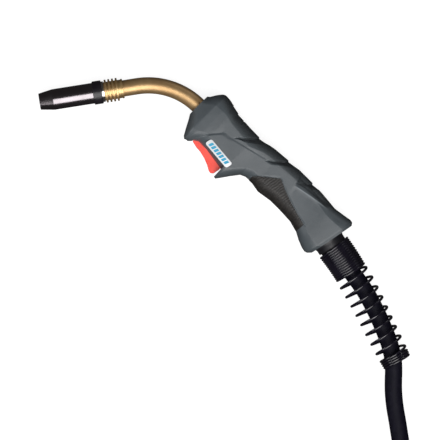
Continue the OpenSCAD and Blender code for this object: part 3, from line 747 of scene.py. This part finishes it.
def pad_skin(name, side):
    """The textured pad: a thin crowned sheet over the skin, with rows of small scales moulded across it."""
    rows, cols = 150, 46
    s = np.linspace(84.5, 153.0, rows)
    rings = []
    for q in s:
        edge = lookup(pad_edge, q) - 0.5
        low, top = lookup(BELLY, q), lookup(BACK, q)
        v = (edge - (top + low) / 2) / ((top - low) / 2)
        t_edge = math.copysign(math.asin(min(1, abs(v) ** (1 / 0.65))), v)
        t = np.linspace(-math.pi / 2, t_edge, cols)
        f = np.linspace(0, 1, cols)
        end = min(1, (q - s[0]) / 1.6, (s[-1] - q) / 1.6)
        crown = 0.3 + 0.22 * smooth(1 - f, 0, 0.1) * smooth(end, 0, 1)
        x, y, z = section(np.full(t.shape, q), t)
        across = (f * cols * 0.55)
        cell = np.mod(q / SCALE_PITCH + 0.3 * across, 1.0)
        wobble = 0.5 + 0.5 * np.sin(across * 1.9 + math.floor(q / SCALE_PITCH) * 1.3)
        ripple = 0.07 * (1 - cell) ** 0.7 * (0.55 + 0.45 * wobble) * smooth(1 - f, 0.02, 0.1) * smooth(end, 0.5, 1)
        grow = crown + ripple - 0.15
        dy, dz = np.gradient(y), np.gradient(z)
        n = np.hypot(dy, dz)
        oy, oz = -dz / n, dy / n
        oy[0], oz[0] = -1, 0
        out = np.stack([x, y + grow * oy, np.maximum(z + grow * oz, 0)], axis=1)
        back = np.stack([x, y - PAD_DEPTH * oy, np.maximum(z - PAD_DEPTH * oz, 0)], axis=1)
        out[0, 2] = back[0, 2] = 0
        ring = np.concatenate([out, back[::-1]])
        rings.append(np.array([handle(p[0], p[1], p[2] * side) for p in ring]))
    return loft(name, rings, sharp=60)


for name, side, cad in (("grip_left", 1, "grip_pad_left"), ("grip_right", -1, "grip_pad_right")):
    ob = pad_skin(name, side)
    give(ob, GRIP)
    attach(ob, "torch")
    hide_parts(cad)


# ------------------------------------------------------------------ name plate, without lettering
PLATE_AT = (45.9, -18.9)
PLATE_TILT = math.radians(-4.8)
BAR_PITCH = 3.75


def plate_outline(l, w, r, slant, n=8):
    """A slanted rectangle with rounded corners, round its own middle."""
    pts = []
    for cx, cy, start in ((l / 2 - r, w / 2 - r, 0), (-l / 2 + r, w / 2 - r, 90),
                          (-l / 2 + r, -w / 2 + r, 180), (l / 2 - r, -w / 2 + r, 270)):
        for k in range(n + 1):
            q = math.radians(start + 90 * k / n)
            x, y = cx + r * math.cos(q), cy + r * math.sin(q)
            pts.append((x + slant * y, y))
    return pts


def plate(name, outline, levels, mat):
    """A flat piece on the handle's side from (change of size, height) levels, both in mm."""
    c, s = math.cos(PLATE_TILT), math.sin(PLATE_TILT)
    rings = []
    o = np.array(outline)
    for grow, z in levels:
        q = o * (1 + grow / np.linalg.norm(o, axis=1))[:, None]
        rings.append(np.array([handle(PLATE_AT[0] + x * c - y * s, PLATE_AT[1] + x * s + y * c, z) for x, y in q]))
    ob = loft(name, rings)
    give(ob, mat)
    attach(ob, "torch")
    return ob


face = plate("label_plate", plate_outline(31.6, 7.4, 2.2, 0.12),
             ((0, 18.4), (0, 20.03), (-0.075, 20.205), (-0.25, 20.28)), PLATE)
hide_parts("name_plate")
for k in range(7):
    bar = [(x + BAR_PITCH * (k - 3), y) for x, y in plate_outline(2.7, 4.5, 0.6, 0.3, 4)]
    plate("label_bar_%d" % k, bar, ((0, 20.1), (0, 20.32)), PRINT)


# ------------------------------------------------------------------ pieces that keep their CAD shape
def dress(mats):
    """Gives CAD pieces their materials; each keeps its own shape."""
    for name, mat in mats.items():
        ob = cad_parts[name]
        ob.data.materials.clear()
        ob.data.materials.append(mat)
        shade(ob, 30)


dress({
    "gas_nozzle": DARK_CHROME, "nozzle_ring": BLACK_RING, "nozzle_adaptor": CHROME, "nozzle_clip": STEEL,
    "contact_tip": COPPER, "tip_holder": BRASS, "gas_diffuser": CERAMIC, "cooling_head": BRASS_FIN,
    "swan_neck": BRASS, "neck_insulator": CERAMIC, "current_tube": COPPER, "wire_liner": STEEL,
    "neck_socket": BRASS, "power_terminal": BRASS, "power_lead": RUBBER, "handle_screws": STEEL,
    "trigger": RED, "trigger_pin": STEEL, "micro_switch": BLACK,
    "switch_plunger": RED, "switch_leads": LEAD, "ball_liner": BLACK, "ball_collar": BLACK,
    "plug_boot": RUBBER, "plug_cover_top": BLACK, "plug_cover_base": BLACK, "plug_screws": STEEL,
    "plug_body": BLACK, "plug_insert": BLACK, "gas_spigot": BRASS, "spigot_seals": RUBBER,
    "control_pins": BRASS, "plug_nut": BLACK,
})

# The trigger's return spring, built as a fixed coil; the real one shortens as the trigger is pressed.
SPRING_AT, SPRING_LOW, SPRING_TALL = 49.6, -25.0, 7.6
SPRING_TURNS, SPRING_R, SPRING_WIRE_R = 5, 2.6, 0.35
coil = []
for n in np.linspace(0, SPRING_TURNS, 24 * SPRING_TURNS + 1):
    q = 2 * math.pi * n
    rise = SPRING_WIRE_R + (SPRING_TALL - 2 * SPRING_WIRE_R) * n / SPRING_TURNS
    coil.append(handle(SPRING_AT + SPRING_R * math.cos(q), SPRING_LOW + rise, SPRING_R * math.sin(q)))
return_spring = loft("return_spring", tube_rings(coil, SPRING_WIRE_R / 1000, 8))
give(return_spring, STEEL)
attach(return_spring, "torch")
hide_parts("trigger_spring")
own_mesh(return_spring)

# ------------------------------------------------------------------ floor, lights, world
FLOOR_HALF, FLOOR_Z = 6.0, -0.0004
floor = bpy.data.objects.new("floor", bpy.data.meshes.new("floor"))
scene.collection.objects.link(floor)
floor.data.from_pydata([(x * FLOOR_HALF, y * FLOOR_HALF, FLOOR_Z)
                        for x, y in ((-1, -1), (1, -1), (1, 1), (-1, 1))], [], [(0, 1, 2, 3)])


def floor_nodes(nt, s):
    colour_noise(nt, s, (0.24, 0.24, 0.24), (0.27, 0.27, 0.27), 3)
    s.inputs["Roughness"].default_value = 0.9
    s.inputs["Specular IOR Level"].default_value = 0.1
    s.inputs["Emission Color"].default_value = (1, 1, 1, 1)
    s.inputs["Emission Strength"].default_value = 0.9


floor.data.materials.append(material("pale_floor", floor_nodes))
floor.visible_glossy = False
floor.visible_diffuse = False


def area(name, towards, tilt, dist, w, h, power, colour, shift=0.0):
    """A soft box tilted from straight above towards a direction in the plane, and shifted along its width."""
    tilt = math.radians(tilt)
    d = Vector((0, 0, 1)) * math.cos(tilt) + towards.normalized() * math.sin(tilt)
    data = bpy.data.lights.new(name, "AREA")
    data.shape = "RECTANGLE"
    data.size, data.size_y = w, h
    data.energy = power
    data.color = colour
    ob = bpy.data.objects.new(name, data)
    scene.collection.objects.link(ob)
    x = right if abs(d.dot(right)) < 0.9 else up
    x = (x - d * x.dot(d)).normalized()
    y = d.cross(x)
    ob.matrix_world = Matrix.Translation(aim + d * dist + x * shift) @ Matrix((
        (x.x, y.x, d.x, 0), (x.y, y.y, d.y, 0), (x.z, y.z, d.z, 0), (0, 0, 0, 1)))


area("key", -up, 27, 3.4, 2.9, 3.3, 138, (1.0, 0.99, 0.985), 0.65)
area("fill", up * 0.15 - right, 58, 3.2, 1.6, 1.6, 34, (0.97, 0.985, 1.0))
area("rim", right * 0.6 + up, 72, 3.0, 1.6, 0.8, 5, (0.93, 0.96, 1.0))

world = bpy.data.worlds.new("studio")
scene.world = world
world.use_nodes = True
world.node_tree.nodes["Background"].inputs["Color"].default_value = (1.0, 0.96, 0.95, 1)
world.node_tree.nodes["Background"].inputs["Strength"].default_value = 0.05
